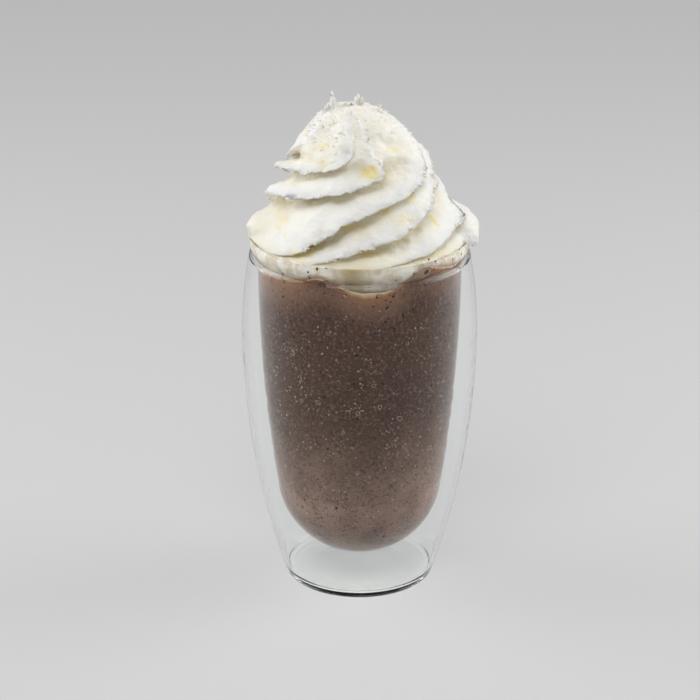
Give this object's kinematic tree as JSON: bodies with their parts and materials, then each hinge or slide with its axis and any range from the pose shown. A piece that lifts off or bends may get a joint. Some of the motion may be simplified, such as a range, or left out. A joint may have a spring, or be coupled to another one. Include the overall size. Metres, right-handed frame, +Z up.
{
  "type": "iced mocha",
  "caption": "Blended iced coffee and chocolate drink in a tall double-walled glass, topped with a piped swirl of whipped cream.",
  "frame": {"origin": "centre of the glass's foot, at the level it stands on", "axes": "+Z up along the glass's axis; +X to the right and +Y away when the cream's hanging dollop is on the right"},
  "size_m": [0.0929, 0.0922, 0.197],
  "materials": {
    "glass": "clear, blown borosilicate",
    "mocha": "blended iced drink with fine bubbles and dark specks",
    "cream": "soft whipped cream"
  },
  "bodies": {
    "root": {"glass": "glass", "mocha": "mocha", "cream": "cream"}
  },
  "joints": []
}
